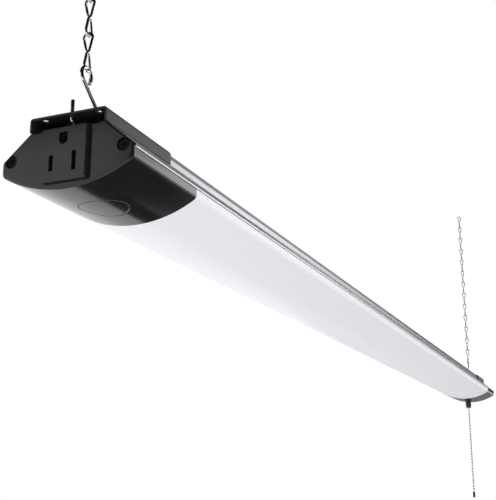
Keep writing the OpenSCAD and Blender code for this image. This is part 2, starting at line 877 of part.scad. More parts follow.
module outlet_body() {
    lug_w = 1.6;
    lug_h = 8;
    color("dimgray") placed() difference() {
        union() {
            translate([-outlet_body_w / 2, 0, -outlet_body_z - outlet_body_h])
                cube([outlet_body_w, outlet_depth, outlet_body_h]);
            // lugs behind the cap's face
            both_sides() translate([outlet_body_w / 2 - lug_w, face_t + slide_fit,
                -outlet_body_z - outlet_body_h / 2 - lug_h / 2])
                cube([2 * lug_w, lug_h / 2, lug_h]);
        }
        slot_cut(-blade_pitch / 2, short_slot_h, outlet_t + outlet_wall);
        slot_cut(blade_pitch / 2, long_slot_h, outlet_t + outlet_wall);
        ground_cut(ground_w, ground_h, outlet_t + outlet_depth + 1);
        for (x = [-1, 1])
            translate([x * blade_pitch / 2 - pocket_w / 2, outlet_wall,
                -slot_z - long_slot_h / 2 - 2 * slide_fit])
                cube([pocket_w, outlet_depth, long_slot_h + 4 * slide_fit]);
    }
}

// Two spring leaves and a tail, which hold a plug's blade
module blade_contact(x) {
    leaf_h = 8;
    leaf_y = 2 * outlet_wall;
    back = outlet_depth * 2 / 3;
    pocket_half = pocket_w / 2 - thread_fit;
    leaf_x = blade_slot_w / 2 + thread_fit;
    translate([x, 0, -slot_z]) union() {
        for (s = [0, 1]) mirror([s, 0, 0]) translate([leaf_x, leaf_y, -leaf_h / 2])
            cube([contact_t, back - leaf_y, leaf_h]);
        translate([-pocket_half, back - contact_t, -leaf_h / 2])
            cube([2 * pocket_half, contact_t, leaf_h]);
        translate([-contact_t / 2, back - contact_t, -leaf_h / 4])
            cube([contact_t, outlet_depth + tail_len - back, leaf_h / 2]);
    }
}

module hot_contact() { color("goldenrod") placed() blade_contact(-blade_pitch / 2); }

module neutral_contact() { color("silver") placed() blade_contact(blade_pitch / 2); }

module ground_contact() {
    ground_z = slot_z - ground_rise;
    tab_w = ground_w - 2 * thread_fit;
    tab_t = contact_t + slide_fit;
    tab_y = outlet_depth * 3 / 4;
    color("goldenrod") placed() {
        translate([-tab_w / 2, tab_y, -ground_z - ground_w / 2 + 2 * tab_t - contact_t])
            cube([tab_w, tab_t, ground_h - 2 * tab_t]);
        translate([-tab_w / 2, tab_y, -ground_z - tab_t / 2])
            cube([tab_w, outlet_depth - tab_y + tail_len, tab_t]);
    }
}

module led_boards() {
    board_len = (lens_y1 - lens_y0 - 2 * ledge_len - 3 * board_gap) / 2;
    color("white") placed() for (i = [0, 1])
        translate([-board_w / 2, lens_y0 + ledge_len + board_gap + i * (board_len + board_gap),
            -web_under - board_t])
            cube([board_w, board_len, board_t]);
}

module leds() {
    count = 2 * led_count;
    span = lens_y1 - lens_y0 - 2 * ledge_len;
    step = span / count;
    color("lightyellow") placed() for (i = [0:count - 1], s = [-1, 1])
        translate([s * led_row_pitch / 2 - led_w / 2,
            lens_y0 + ledge_len + (i + 0.5) * step - led_len / 2, -web_under - board_t - led_h])
            cube([led_w, led_len, led_h]);
}

module driver_tray() {
    color("dimgray") placed() union() {
        translate([-driver_w / 2 - tray_rim, driver_y - tray_rim, -web_z])
            cube([driver_w + 2 * tray_rim, driver_len + 2 * tray_rim, tray_t]);
        for (x = [-1, 1], y = [post_in, driver_len - post_in])
            translate([x * (driver_w / 2 - post_in), driver_y + y, -web_z + tray_t / 2])
                cylinder(h = tray_t / 2 + post_h, d = post_d);
    }
}

module driver_board() {
    color("darkgreen") placed() translate([-driver_w / 2, driver_y, -driver_z])
        cube([driver_w, driver_len, board_t]);
}

module driver_transformer() {
    lip = 2;
    color("khaki") placed() translate([0, driver_y + transformer_y, -driver_z + board_t]) union() {
        translate([-transformer_w / 2, 0, 0])
            cube([transformer_w, transformer_len, transformer_h]);
        translate([-transformer_w / 2 + lip, -lip, lip / 2])
            cube([transformer_w - 2 * lip, transformer_len + 2 * lip, transformer_h - lip]);
    }
}

module driver_capacitors() {
    color("black") placed() for (p = [[-can_x, can_y], [can_x, can_y], [0, rear_can_y]])
        translate([p[0], driver_y + p[1], -driver_z + board_t + can_d / 2])
            rotate([-90, 0, 0]) cylinder(h = can_len, d = can_d);
}

module driver_choke() {
    color("peru") placed() translate([0, driver_y + choke_y, -driver_z + board_t])
        rotate_extrude() translate([choke_r, choke_ring_d / 2]) circle(d = choke_ring_d);
}

module terminal_block() {
    color("white") placed() difference() {
        translate([-terminal_w / 2, terminal_y, -web_z])
            cube([terminal_w, terminal_len, terminal_h]);
        for (i = [0:2]) translate([terminal_x(i), terminal_y - 1, -terminal_z])
            rotate([-90, 0, 0]) cylinder(h = terminal_len + 2, d = terminal_d);
    }
}

// Wire number i lies in a lane of its own beside the driver
function lane_x(i) = driver_w / 2 + tray_rim + lane_gap + wire_d / 2 + i * (wire_d + slide_fit);
function terminal_x(i) = terminal_pitch * (i - 1);

module outlet_wires() {
    tail_y = outlet_depth + tail_len + slide_fit;
    tail_z = [slot_z, slot_z - ground_rise, slot_z];
    color("black") placed() for (i = [0:2]) {
        tail_x = (i - 1) * blade_pitch / 2;
        leave_y = tail_y + wire_stagger * (3 - i);
        turn_y = terminal_y - wire_stagger * (3 - i);
        wire([[tail_x, tail_y, -tail_z[i]], [tail_x, leave_y, -tail_z[i]],
            [driver_w / 2 - 2 * tray_rim, leave_y, -lay_z], [lane_x(i), leave_y, -lay_z],
            [lane_x(i), turn_y, -lay_z], [terminal_x(i), turn_y, -terminal_z],
            [terminal_x(i), terminal_y + terminal_len / 4, -terminal_z]], wire_d);
    }
}

module switch_wires() {
    color("dimgray") placed() for (i = [0:2]) {
        turn_y = terminal_y + terminal_len + wire_stagger * (3 - i);
        enter_y = far_switch_y + wire_stagger * (i - 1);
        wire([[terminal_x(i), terminal_y + terminal_len * 3 / 4, -terminal_z],
            [terminal_x(i), turn_y, -terminal_z], [lane_x(i), turn_y, -lay_z],
            [lane_x(i), enter_y, -lay_z], [switch_w / 2 + slide_fit, enter_y, -lay_z]], wire_d);
    }
}

// Housing of the pull switch, which seats on the inside of the far cap
module switch_body() {
    color("ivory") placed() translate([0, far_switch_y, 0]) difference() {
        translate([-switch_w / 2, -switch_w / 2, -switch_base])
            cube([switch_w, switch_w, switch_base - switch_top]);
        // well for the plunger's head and its travel
        translate([0, 0, -switch_base + switch_floor])
            cylinder(h = 2 * pull_travel, d = plunger_d + 3 * slide_fit);
        translate([0, 0, -switch_base - 1])
            cylinder(h = switch_floor + 2, d = nozzle_bore + bead_wire_d);
        translate([0, 0, -switch_base - 1])
            cylinder(h = nozzle_seat + 2 * slide_fit + 1, d = nozzle_d + 2 * thread_fit);
    }
}

module switch_nozzle() {
    mouth_rim = 0.6;
    funnel_depth = 1.6;
    color("silver") placed() translate([0, far_switch_y, -mouth_z]) difference() {
        union() {
            translate([0, 0, nozzle_lip / 2])
                cylinder(h = mouth_z - switch_base + nozzle_seat - nozzle_lip / 2, d = nozzle_d);
            cylinder(h = nozzle_lip, d1 = mouth_d, d2 = nozzle_d);
        }
        translate([0, 0, -1]) cylinder(h = mouth_z, d = nozzle_bore);
        translate([0, 0, -0.01])
            cylinder(h = funnel_depth, d1 = mouth_d - 2 * mouth_rim, d2 = nozzle_bore);
    }
}

// Round nut with a flange above and grooves for the fingers below
module nozzle_nut() {
    grip_d = mouth_d - 0.6;
    flange_h = 1.6;
    flange_d = mouth_d + 1.2;
    groove_d = 0.8;
    color("dimgray") placed() translate([0, far_switch_y, -cap_h - slide_fit - nut_h])
        difference() {
            union() {
                cylinder(h = nut_h, d = grip_d);
                translate([0, 0, nut_h - flange_h]) cylinder(h = flange_h, d = flange_d);
            }
            translate([0, 0, -1]) cylinder(h = nut_h + 2, d = nozzle_d + 2 * thread_fit);
            for (a = [0:30:330]) rotate(a) translate([grip_d / 2, 0, -1])
                cylinder(h = nut_h - flange_h + 0.6, d = groove_d);
        }
}

// Head in the switch, stem through the nozzle and the knob that holds the chain
module switch_plunger() {
    color("silver") placed() translate([0, far_switch_y, 0]) union() {
        translate([0, 0, -switch_base + switch_floor + pull_travel + seat_gap])
            cylinder(h = plunger_h, d = plunger_d);
        translate([0, 0, -pivot_z + knob_r / 2])
            cylinder(h = pivot_z - knob_r / 2 - switch_base + switch_floor + 1 + pull_travel,
                d = bead_wire_d);
        translate([0, 0, -pivot_z]) sphere(r = knob_r);
    }
}

// A hollow bead, open at the top, that swings on the knob above it
module open_bead() {
    difference() {
        sphere(d = bead_d);
        sphere(r = bead_in);
        cylinder(h = bead_d, r1 = 0, r2 = bead_d * tan(bead_open));
    }
}

module top_bead() {
    color("silver") placed() translate([0, far_switch_y, -pivot_z]) union() {
        open_bead();
        translate([0, 0, -bead_pitch + knob_r / 2])
            cylinder(h = bead_pitch - knob_r / 2 - bead_in - 0.1, d = bead_wire_d);
        translate([0, 0, -bead_pitch]) sphere(r = knob_r);
    }
}

module bead_chain() {
    color("silver") placed() translate([0, far_switch_y, 0]) union() {
        translate([0, 0, -pivot_z - bead_pitch]) open_bead();
        for (i = [2:bead_count - 1]) translate([0, 0, -pivot_z - i * bead_pitch])
            sphere(d = bead_d);
        translate([0, 0, -pull_end_top - 2])
            cylinder(h = pull_end_top + 2 - pivot_z - bead_pitch - bead_in - 0.1,
                d = bead_wire_d);
    }
}

module pull_end() {
    color("dimgray") placed() translate([0, far_switch_y, -pull_end_top]) difference() {
        union() {
            translate([0, 0, -1]) cylinder(h = 1, d1 = fob_d, d2 = fob_d - 1.2);
            translate([0, 0, 1 - fob_len]) cylinder(h = fob_len - 2, d = fob_d);
            translate([0, 0, -fob_len]) cylinder(h = 1, d1 = fob_d - 1.2, d2 = fob_d);
        }
        translate([0, 0, -2.05]) cylinder(h = 3, d = bead_wire_d + 2 * thread_fit);
    }
}

module supply_bushing() {
    flange_d = gland_hole_d + 5;
    flange_t = 2;
    thread_len = 8;
    color("dimgray") placed() far_end() translate([0, 0, -gland_z]) rotate([-90, 0, 0])
        difference() {
            union() {
                translate([0, 0, -flange_t]) cylinder(h = flange_t, d = flange_d);
                translate([0, 0, -0.1])
                    cylinder(h = face_t + thread_len, d = gland_hole_d - 2 * slide_fit);
            }
            translate([0, 0, -3 * face_t]) cylinder(h = 10 * face_t, d = gland_bore);
        }
}

module bushing_nut() {
    nut_across = gland_hole_d + 6;
    nut_thick = 4;
    color("dimgray") placed() far_end() translate([0, face_t, -gland_z]) rotate([-90, 0, 0])
        difference() {
            cylinder(h = nut_thick, d = nut_across, $fn = 6);
            translate([0, 0, -1])
                cylinder(h = nut_thick + 2, d = gland_hole_d - 2 * slide_fit + 2 * thread_fit);
        }
}

housing();
hanging_rail();
rail_rivets();
diffuser();
near_end_cap();
far_end_cap();
cap_screws();
near_bracket();
far_bracket();
bracket_screws();
bracket_nuts();
near_hook();
far_hook();
near_top_link();
far_top_link();
near_second_link();
far_second_link();
near_chain();
far_chain();
near_last_link();
far_last_link();
outlet_face();
outlet_body();
hot_contact();
neutral_contact();
ground_contact();
led_boards();
leds();
driver_tray();
driver_board();
driver_transformer();
driver_capacitors();
driver_choke();
terminal_block();
outlet_wires();
switch_wires();
switch_body();
switch_nozzle();
nozzle_nut();
switch_plunger();
top_bead();
bead_chain();
pull_end();
supply_bushing();
bushing_nut();
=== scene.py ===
# %% [markdown]
# # Dressing a hanging shop light
#
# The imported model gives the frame: every solid of the light, in metres, with
# the origin midway between the two points from which the chains hang. This
# lesson leaves those solids where they are. It gives each of them a real
# finish, puts true bent-wire links in place of the plain ones, rounds the
# lower edges of the caps and the lens on copies, and sets up a bright studio
# with a camera that looks along the light from below.

# %% Load the frame
import json
import math

import bpy
import bmesh
from mathutils import Matrix, Vector

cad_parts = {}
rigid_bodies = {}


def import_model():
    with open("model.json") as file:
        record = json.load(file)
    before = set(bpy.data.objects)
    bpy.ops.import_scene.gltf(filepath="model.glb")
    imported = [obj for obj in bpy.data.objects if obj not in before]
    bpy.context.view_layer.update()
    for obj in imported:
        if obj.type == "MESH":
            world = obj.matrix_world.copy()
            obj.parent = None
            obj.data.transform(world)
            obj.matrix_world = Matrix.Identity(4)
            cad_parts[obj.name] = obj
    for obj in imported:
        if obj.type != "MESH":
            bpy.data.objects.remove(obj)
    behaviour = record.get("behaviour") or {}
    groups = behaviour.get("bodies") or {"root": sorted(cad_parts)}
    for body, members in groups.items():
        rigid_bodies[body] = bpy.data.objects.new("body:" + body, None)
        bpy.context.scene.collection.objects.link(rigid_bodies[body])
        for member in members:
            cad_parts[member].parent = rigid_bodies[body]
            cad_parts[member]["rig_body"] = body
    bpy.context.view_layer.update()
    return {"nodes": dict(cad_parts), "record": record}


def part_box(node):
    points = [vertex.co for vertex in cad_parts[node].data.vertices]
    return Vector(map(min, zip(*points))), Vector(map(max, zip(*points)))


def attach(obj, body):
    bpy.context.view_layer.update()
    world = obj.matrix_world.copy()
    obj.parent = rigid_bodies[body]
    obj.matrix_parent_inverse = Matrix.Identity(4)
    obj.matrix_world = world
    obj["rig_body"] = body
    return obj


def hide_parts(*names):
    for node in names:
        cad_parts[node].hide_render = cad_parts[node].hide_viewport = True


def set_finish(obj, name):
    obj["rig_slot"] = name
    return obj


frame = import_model()
nodes = frame["nodes"]
MM = 0.001

# %% [markdown]
# ## The camera
#
# The photograph looks at the near end from below and to the right, so the far
# end shrinks into the distance. The place, direction and focal length were
# worked out from the corners of both end caps. They were then changed a little
# with estimated offsets, and kept because the long edges of the light came
# within a pixel of the photograph's. The sensor's width belongs to the longer
# side of the picture, here its height.

# %% Camera
SENSOR_MM = 36.0
LONG_SIDE_PX = 500
FOCAL_PX = 883.32
EYE = Vector((0.22996, -0.92776, -0.45486))
LOOK = Vector((-0.37213, 0.89191, 0.25691))

camera_data = bpy.data.cameras.new("camera")
camera_data.sensor_width = SENSOR_MM
camera_data.lens = FOCAL_PX * SENSOR_MM / LONG_SIDE_PX
camera_data.clip_start = 0.01
camera_data.clip_end = 200.0
camera = bpy.data.objects.new("camera", camera_data)
camera.location = EYE
camera.rotation_mode = "QUATERNION"
camera.rotation_quaternion = LOOK.to_track_quat("-Z", "Y")
bpy.context.scene.collection.objects.link(camera)
bpy.context.scene.camera = camera
print("lens", round(camera_data.lens, 2), "mm")

# %% [markdown]
# ## Small helpers for meshes
#
# Most pieces here are rows of points joined by faces. A helper turns points
# and faces into an object, smooth or flat, and another sweeps a round wire
# along a path, which is how wire is really bent: one section, carried along
# without twisting.

# %% Mesh helpers
WIRE_SIDES = 12
END_BULGE = 0.35
END_RINGS = ((0.0, 0.35), (0.12, 0.8), (0.35, 1.0))


def make_object(name, points, faces, smooth=True):
    mesh = bpy.data.meshes.new(name)
    mesh.from_pydata([tuple(p) for p in points], [], faces)
    mesh.validate()
    for face in mesh.polygons:
        face.use_smooth = smooth
    made = bpy.data.objects.new(name, mesh)
    bpy.context.scene.collection.objects.link(made)
    return made


def sweep(path, radius, first=0):
    """Points and faces of a round wire along a path, with rounded ends."""
    sides = WIRE_SIDES
    ahead = (path[1] - path[0]).normalized()
    side = ahead.orthogonal().normalized()
    points, faces = [], []
    last = len(path) - 1
    rings = [(path[0] - ahead * radius * (END_BULGE - a), radius * s, ahead) for a, s in END_RINGS]
    for i in range(1, last):
        ahead = (path[i + 1] - path[i - 1]).normalized()
        rings.append((path[i], radius, ahead))
    ahead = (path[last] - path[last - 1]).normalized()
    for a, s in reversed(END_RINGS):
        rings.append((path[last] + ahead * radius * (END_BULGE - a), radius * s, ahead))
    for centre, size, direction in rings:
        side = (side - direction * side.dot(direction)).normalized()
        up = direction.cross(side)
        for k in range(sides):
            turn = 2 * math.pi * k / sides
            points.append(centre + size * (math.cos(turn) * side + math.sin(turn) * up))
    for r in range(len(rings) - 1):
        for k in range(sides):
            a, b = r * sides + k, r * sides + (k + 1) % sides
            faces.append([first + i for i in (a, b, b + sides, a + sides)])
    faces.append([first + k for k in reversed(range(sides))])
    faces.append([first + (len(rings) - 1) * sides + k for k in range(sides)])
    return points, faces


print("helpers ready")

# %% [markdown]
# ## Jack-chain links
#
# Each link of this chain is one piece of bright wire bent into a figure of
# eight: a tear-shaped loop above, another one below, turned by a quarter, and
# the two cut ends tucked in at the neck. A figure like that could be made
# from rings and rods, but the neck would look welded. Here the wire follows
# one path, with the quarter turn made gradually as it passes the neck.

# %% One link's path
LINK_D = 1.4 * MM
LOOP_W = 6.5 * MM
LINK_PITCH = 19.5 * MM
LINK_GAP = 0.15 * MM
LINK_LEN = LINK_PITCH + LINK_D + LINK_GAP
LINK_COUNT = 13
LINK_STEPS = 7
NECK = 0.52 * LINK_D
TUCK = 0.9 * MM
TUCK_IN = 0.75
TUCK_SIDE = 0.15 * MM
NECK_SIDE = 0.35 * MM


def loop_outline(half_len, radius, steps):
    """Half a figure of eight: from the neck out, round the end and back."""
    rise = half_len - radius
    reach = math.hypot(NECK, rise)
    lean = math.atan2(rise, -NECK) - math.asin(radius / reach)
    run = math.sqrt(reach * reach - radius * radius)
    points = []
    for i in range(steps):
        t = i / steps
        points.append((NECK + t * run * math.cos(lean), t * run * math.sin(lean)))
    start = lean - math.pi / 2
    for i in range(2 * steps + 1):
        turn = start + (math.pi - 2 * start) * i / (2 * steps)
        points.append((radius * math.cos(turn), rise + radius * math.sin(turn)))
    mirrored = [(-x, z) for x, z in points[:steps]]
    return points + mirrored[::-1]


def link_path():
    """The wire of one link, with its middle at the origin."""
    half = loop_outline(LINK_LEN / 2, (LOOP_W - LINK_D) / 2, LINK_STEPS)
    lower = [Vector((0.0, y, -z)) for y, z in half]
    upper = [Vector((x, 0.0, z)) for x, z in half]
    lower[0] = Vector((TUCK_SIDE, lower[1].y * TUCK_IN, -TUCK))
    upper[-1] = Vector((upper[-2].x * TUCK_IN, TUCK_SIDE, TUCK))
    return lower[:-1] + [Vector((NECK_SIDE, -NECK_SIDE, 0.0))] + upper[1:]


path = link_path()
wire_len = sum((b - a).length for a, b in zip(path, path[1:]))
print("wire in one link:", round(wire_len / MM, 1), "mm")

# %% [markdown]
# A chain is the same link again and again, one pitch higher each time. The
# lowest wire of the lowest link sits in the hook's eye. Links that swing on
# their own are separate pieces, so that each can ride on its own body.

# %% Build the chains
def chain_piece(name, node, first, last, turn):
    """Links first to last of one chain, in place of the CAD node."""
    low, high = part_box(node)
    centre = (low + high) / 2
    bottom = low.z + LINK_D / 2
    points, faces = [], []
    for i in range(first, last + 1):
        middle = bottom + (i - first) * LINK_PITCH + LINK_LEN / 2
        place = Matrix.Translation((centre.x, centre.y, middle)) @ Matrix.Rotation(turn, 4, "Z")
        p, f = sweep([place @ q for q in path], LINK_D / 2, first=len(points))
        points += p
        faces += f
    made = make_object(name, points, faces)
    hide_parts(node)
    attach(made, nodes[node]["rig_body"])
    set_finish(made, "bright_wire")
    return made


PARTS_OF_CHAIN = (("top_link", LINK_COUNT - 1, LINK_COUNT - 1),
                  ("second_link", LINK_COUNT - 2, LINK_COUNT - 2),
                  ("chain", 1, LINK_COUNT - 3),
                  ("last_link", 0, 0))
wire_pieces = []
for end, turn in (("near", 0.0), ("far", math.pi)):
    for part, first, last in PARTS_OF_CHAIN:
        wire_pieces.append(chain_piece(f"{end}_{part}_wire", f"{end}_{part}", first, last, turn))
print(len(wire_pieces), "pieces of chain")

# %% [markdown]
# ## Rounded mouldings
#
# The solids of the two end caps and the lens meet in a sharp edge where the
# upright side turns into the curved underside. A mould has a radius there,
# and light draws bright and dark lines along it. A copy of each solid gets
# that radius as real geometry, just along this edge, and takes the solid's
# place. Flat faces keep their flat shading because normals are weighted by
# the size of the face.

# %% Round the lower edges
EDGE_R = 3.0 * MM
EDGE_STEPS = 6
ON_THE_SIDE = 0.01 * MM
NEAR_CORNER = 1.2 * MM
SHORTEST_EDGE = 0.5 * MM
LEAST_TURN = 0.7
MOST_TURN = 1.3
SAME_POINT = 0.001 * MM
SAME_PLANE_DEG = 0.1
SHARP_DEG = 24


def lower_edges(mesh, half_w):
    """Edges where an upright side turns into the underside, with their ends in the rim."""
    corner_z = min(v.co.z for v in mesh.verts if half_w - v.co.x < ON_THE_SIDE)
    chosen = []
    for edge in mesh.edges:
        beside = all(half_w - abs(v.co.x) < NEAR_CORNER for v in edge.verts)
        level = all(abs(v.co.z - corner_z) < NEAR_CORNER for v in edge.verts)
        along = abs(edge.verts[0].co.y - edge.verts[1].co.y) > SHORTEST_EDGE
        turns = LEAST_TURN < edge.calc_face_angle(0.0) < MOST_TURN
        if beside and level and along and turns:
            chosen.append(edge)
    return chosen


def rounded_copy(name, node, slot_name):
    """A copy of a CAD node with its lower long edges rounded, in its place."""
    half_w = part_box(node)[1].x
    mesh = bmesh.new()
    mesh.from_mesh(nodes[node].data)
    bmesh.ops.remove_doubles(mesh, verts=mesh.verts, dist=SAME_POINT)
    bmesh.ops.dissolve_limit(mesh, angle_limit=math.radians(SAME_PLANE_DEG),
                             verts=mesh.verts, edges=mesh.edges)
    chosen = lower_edges(mesh, half_w)
    turn = max(edge.calc_face_angle() for edge in chosen)
    bmesh.ops.bevel(mesh, geom=chosen, offset=EDGE_R * math.tan(turn / 2), offset_type="OFFSET",
                    segments=EDGE_STEPS, profile=0.5, affect="EDGES")
    for edge in mesh.edges:
        edge.smooth = edge.calc_face_angle(0.0) < math.radians(SHARP_DEG)
    for face in mesh.faces:
        face.smooth = True
    data = bpy.data.meshes.new(name)
    mesh.to_mesh(data)
    mesh.free()
    made = bpy.data.objects.new(name, data)
    bpy.context.scene.collection.objects.link(made)
    even = made.modifiers.new("even_shading", "WEIGHTED_NORMAL")
    even.keep_sharp = True
    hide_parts(node)
    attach(made, nodes[node]["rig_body"])
    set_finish(made, slot_name)
    print(name, "rounded along", len(chosen), "edges")
    return made


rounded = [rounded_copy("near_cap_moulding", "near_end_cap", "black_gloss"),
           rounded_copy("far_cap_moulding", "far_end_cap", "black_gloss"),
           rounded_copy("lens_extrusion", "diffuser", "lens")]

# %% [markdown]
# ## Finishes
#
# Every finish starts from the same shader and gets its life from noise in the
# piece's own coordinates, in metres, so the grain has its true size and moves
# with the piece. Three things vary: the colour a little, the roughness more,
# and the surface height by hundredths of a millimetre. Edges are softened in
# the shader too, since nothing that is moulded or pressed has a razor edge.

# %% Finish helpers
ALONG = (1.0, 60.0, 1.0)
NOISE_LOW = 0.3
NOISE_HIGH = 0.7
RELIEF_STRENGTH = 0.4
BLOTCH_TO_GRAIN = 8
SHADE_BAND_SPREAD = 0.15
SHADE_BAND_EDGE = 0.1 * MM


def new_finish(name, colour, roughness, metallic):
    material = bpy.data.materials.new(name)
    material.use_nodes = True
    tree = material.node_tree
    tree.nodes.clear()
    shader = tree.nodes.new("ShaderNodeBsdfPrincipled")
    output = tree.nodes.new("ShaderNodeOutputMaterial")
    tree.links.new(shader.outputs["BSDF"], output.inputs["Surface"])
    shader.inputs["Base Color"].default_value = (*colour, 1.0)
    shader.inputs["Roughness"].default_value = roughness
    shader.inputs["Metallic"].default_value = metallic
    return material, tree, shader


def noise(tree, size_mm, stretch=(1.0, 1.0, 1.0), detail=3.0):
    """Noise whose blotches are size_mm across, longer where stretch is large."""
    where = tree.nodes.new("ShaderNodeTexCoord")
    scale = tree.nodes.new("ShaderNodeMapping")
    scale.inputs["Scale"].default_value = [1.0 / (size_mm * MM * s) for s in stretch]
    made = tree.nodes.new("ShaderNodeTexNoise")
    made.inputs["Scale"].default_value = 1.0
    made.inputs["Detail"].default_value = detail
    tree.links.new(where.outputs["Object"], scale.inputs["Vector"])
    tree.links.new(scale.outputs["Vector"], made.inputs["Vector"])
    return made.outputs["Fac"]


def shade(colour, share):
    return tuple(min(1.0, c * share) for c in colour)


def varied_colour(tree, source, colour, spread):
    """A colour that the noise makes darker and lighter by a share."""
    ramp = tree.nodes.new("ShaderNodeValToRGB")
    ends = ramp.color_ramp.elements
    ends[0].position = NOISE_LOW
    ends[0].color = (*shade(colour, 1 - spread), 1.0)
    ends[1].position = NOISE_HIGH
    ends[1].color = (*shade(colour, 1 + spread), 1.0)
    tree.links.new(source, ramp.inputs["Fac"])
    return ramp.outputs["Color"]


def vary_roughness(tree, shader, source, low, high):
    change = tree.nodes.new("ShaderNodeMapRange")
    change.inputs["From Min"].default_value = NOISE_LOW
    change.inputs["From Max"].default_value = NOISE_HIGH
    change.inputs["To Min"].default_value = low
    change.inputs["To Max"].default_value = high
    tree.links.new(source, change.inputs["Value"])
    tree.links.new(change.outputs["Result"], shader.inputs["Roughness"])


def relief(tree, shader, source, depth_mm, edge_mm):
    bump = tree.nodes.new("ShaderNodeBump")
    bump.inputs["Strength"].default_value = RELIEF_STRENGTH
    bump.inputs["Distance"].default_value = depth_mm * MM
    tree.links.new(source, bump.inputs["Height"])
    if edge_mm:
        edge = tree.nodes.new("ShaderNodeBevel")
        edge.samples = 4
        edge.inputs["Radius"].default_value = edge_mm * MM
        tree.links.new(edge.outputs["Normal"], bump.inputs["Normal"])
    tree.links.new(bump.outputs["Normal"], shader.inputs["Normal"])


def finish(name, colour, roughness, metallic=0.0, grain_mm=1.0, stretch=(1.0, 1.0, 1.0),
           spread=0.1, rough_spread=0.2, depth_mm=0.01, edge_mm=0.3, specular=0.5):
    material, tree, shader = new_finish(name, colour, roughness, metallic)
    shader.inputs["Specular IOR Level"].default_value = specular
    blotch = noise(tree, BLOTCH_TO_GRAIN * grain_mm, stretch)
    fine = noise(tree, grain_mm, stretch, 5.0)
    tree.links.new(varied_colour(tree, blotch, colour, spread), shader.inputs["Base Color"])
    vary_roughness(tree, shader, fine, roughness * (1 - rough_spread), roughness * (1 + rough_spread))
    relief(tree, shader, fine, depth_mm, edge_mm)
    return material


def painted_shade_band(material, colour, shade_start_z, grain_mm):
    """A given colour painted above a height, used as painted shade along the rail's upper edge, on a
    piece whose coordinates are the frame's.
    """
    tree = material.node_tree
    shader = tree.nodes["Principled BSDF"]
    below = shader.inputs["Base Color"].links[0].from_socket
    where = tree.nodes.new("ShaderNodeTexCoord")
    split = tree.nodes.new("ShaderNodeSeparateXYZ")
    shade_mask = tree.nodes.new("ShaderNodeMapRange")
    shade_mask.inputs["From Min"].default_value = shade_start_z - SHADE_BAND_EDGE
    shade_mask.inputs["From Max"].default_value = shade_start_z + SHADE_BAND_EDGE
    shade_band = tree.nodes.new("ShaderNodeMix")
    shade_band.data_type = "RGBA"
    above = varied_colour(tree, noise(tree, grain_mm, ALONG), colour, SHADE_BAND_SPREAD)
    tree.links.new(where.outputs["Object"], split.inputs["Vector"])
    tree.links.new(split.outputs["Z"], shade_mask.inputs["Value"])
    tree.links.new(shade_mask.outputs["Result"], shade_band.inputs[0])
    tree.links.new(below, shade_band.inputs[6])
    tree.links.new(above, shade_band.inputs[7])
    tree.links.new(shade_band.outputs[2], shader.inputs["Base Color"])


print("finish helpers ready")

# %% [markdown]
# ### Which finish goes where
#
# The record names a slot for each solid. One table gives each slot its
# colour, gloss and grain: enamel has a faint orange peel, extrusions have
# streaks along their length, moulded plastic is almost smooth with a little
# unevenness in its gloss, and plated wire is nearly a mirror.
#
# The housing's coat mirrors like a metal here, so that the narrow skirt above
# the lens darkens towards the far end. The record calls it a white powder
# coat, which would not do that, and from the side this coat looks too dark.

# %% Finishes by slot
FINISHES = {
    "white_metal": finish("white_enamel", (0.74, 0.745, 0.76), 0.3, 0.7, grain_mm=0.6, spread=0.02,
                          depth_mm=0.006, edge_mm=0.25),
    "rail_metal": finish("satin_extrusion", (0.40, 0.40, 0.42), 0.3, 1.0, 0.35, ALONG, 0.08,
                         depth_mm=0.006, specular=0.25),
    "zinc": finish("zinc_plate", (0.66, 0.67, 0.68), 0.3, 1.0, 1.2, spread=0.08, depth_mm=0.003),
    "lens": finish("milky_lens", (0.85, 0.842, 0.895), 0.3, grain_mm=0.5, stretch=ALONG,
                   spread=0.01, rough_spread=0.1, depth_mm=0.002, edge_mm=0.25, specular=0.1),
    "black_gloss": finish("polished_black", (0.012, 0.012, 0.0125), 0.12, grain_mm=1.5,
                          rough_spread=0.2, depth_mm=0.004, edge_mm=0.45),
    "black_screw": finish("black_oxide", (0.006, 0.006, 0.007), 0.5, grain_mm=0.4, specular=0.15),
    "black_paint": finish("black_paint", (0.02, 0.02, 0.022), 0.38, grain_mm=0.5,
                          depth_mm=0.02, edge_mm=0.35),
    "bright_wire": finish("bright_wire", (0.80, 0.81, 0.83), 0.12, 1.0, 1.5, spread=0.04,
                          depth_mm=0.001, edge_mm=0.0),
    "black_matte": finish("matte_black", (0.03, 0.03, 0.033), 0.6, grain_mm=0.4, depth_mm=0.02),
    "brass": finish("bare_brass", (0.72, 0.53, 0.24), 0.28, 1.0, 0.6, spread=0.1),
    "board_white": finish("white_mask", (0.85, 0.85, 0.83), 0.4, grain_mm=0.5, spread=0.02),
    "led_phosphor": finish("phosphor_gel", (0.88, 0.72, 0.24), 0.3, grain_mm=0.3, spread=0.08),
    "board_green": finish("green_mask", (0.02, 0.16, 0.07), 0.35, grain_mm=0.5),
    "tape_yellow": finish("core_tape", (0.72, 0.52, 0.08), 0.45, grain_mm=0.6),
    "copper_wire": finish("copper_wire", (0.62, 0.26, 0.10), 0.3, 1.0, 0.4),
    "wire_black": finish("wire_jacket", (0.02, 0.02, 0.02), 0.5, grain_mm=0.6),
    "ivory_plastic": finish("ivory_moulding", (0.72, 0.69, 0.58), 0.45, grain_mm=0.8, spread=0.03),
}

# The rail's upper side is painted darker from this height up. This is painted shade along its top
# edge, not a colour of the rail.
RAIL_SHADE_FROM = 3.9 * MM
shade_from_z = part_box("hanging_rail")[0].z + RAIL_SHADE_FROM
painted_shade_band(FINISHES["rail_metal"], (0.085, 0.085, 0.095), shade_from_z, 0.35)

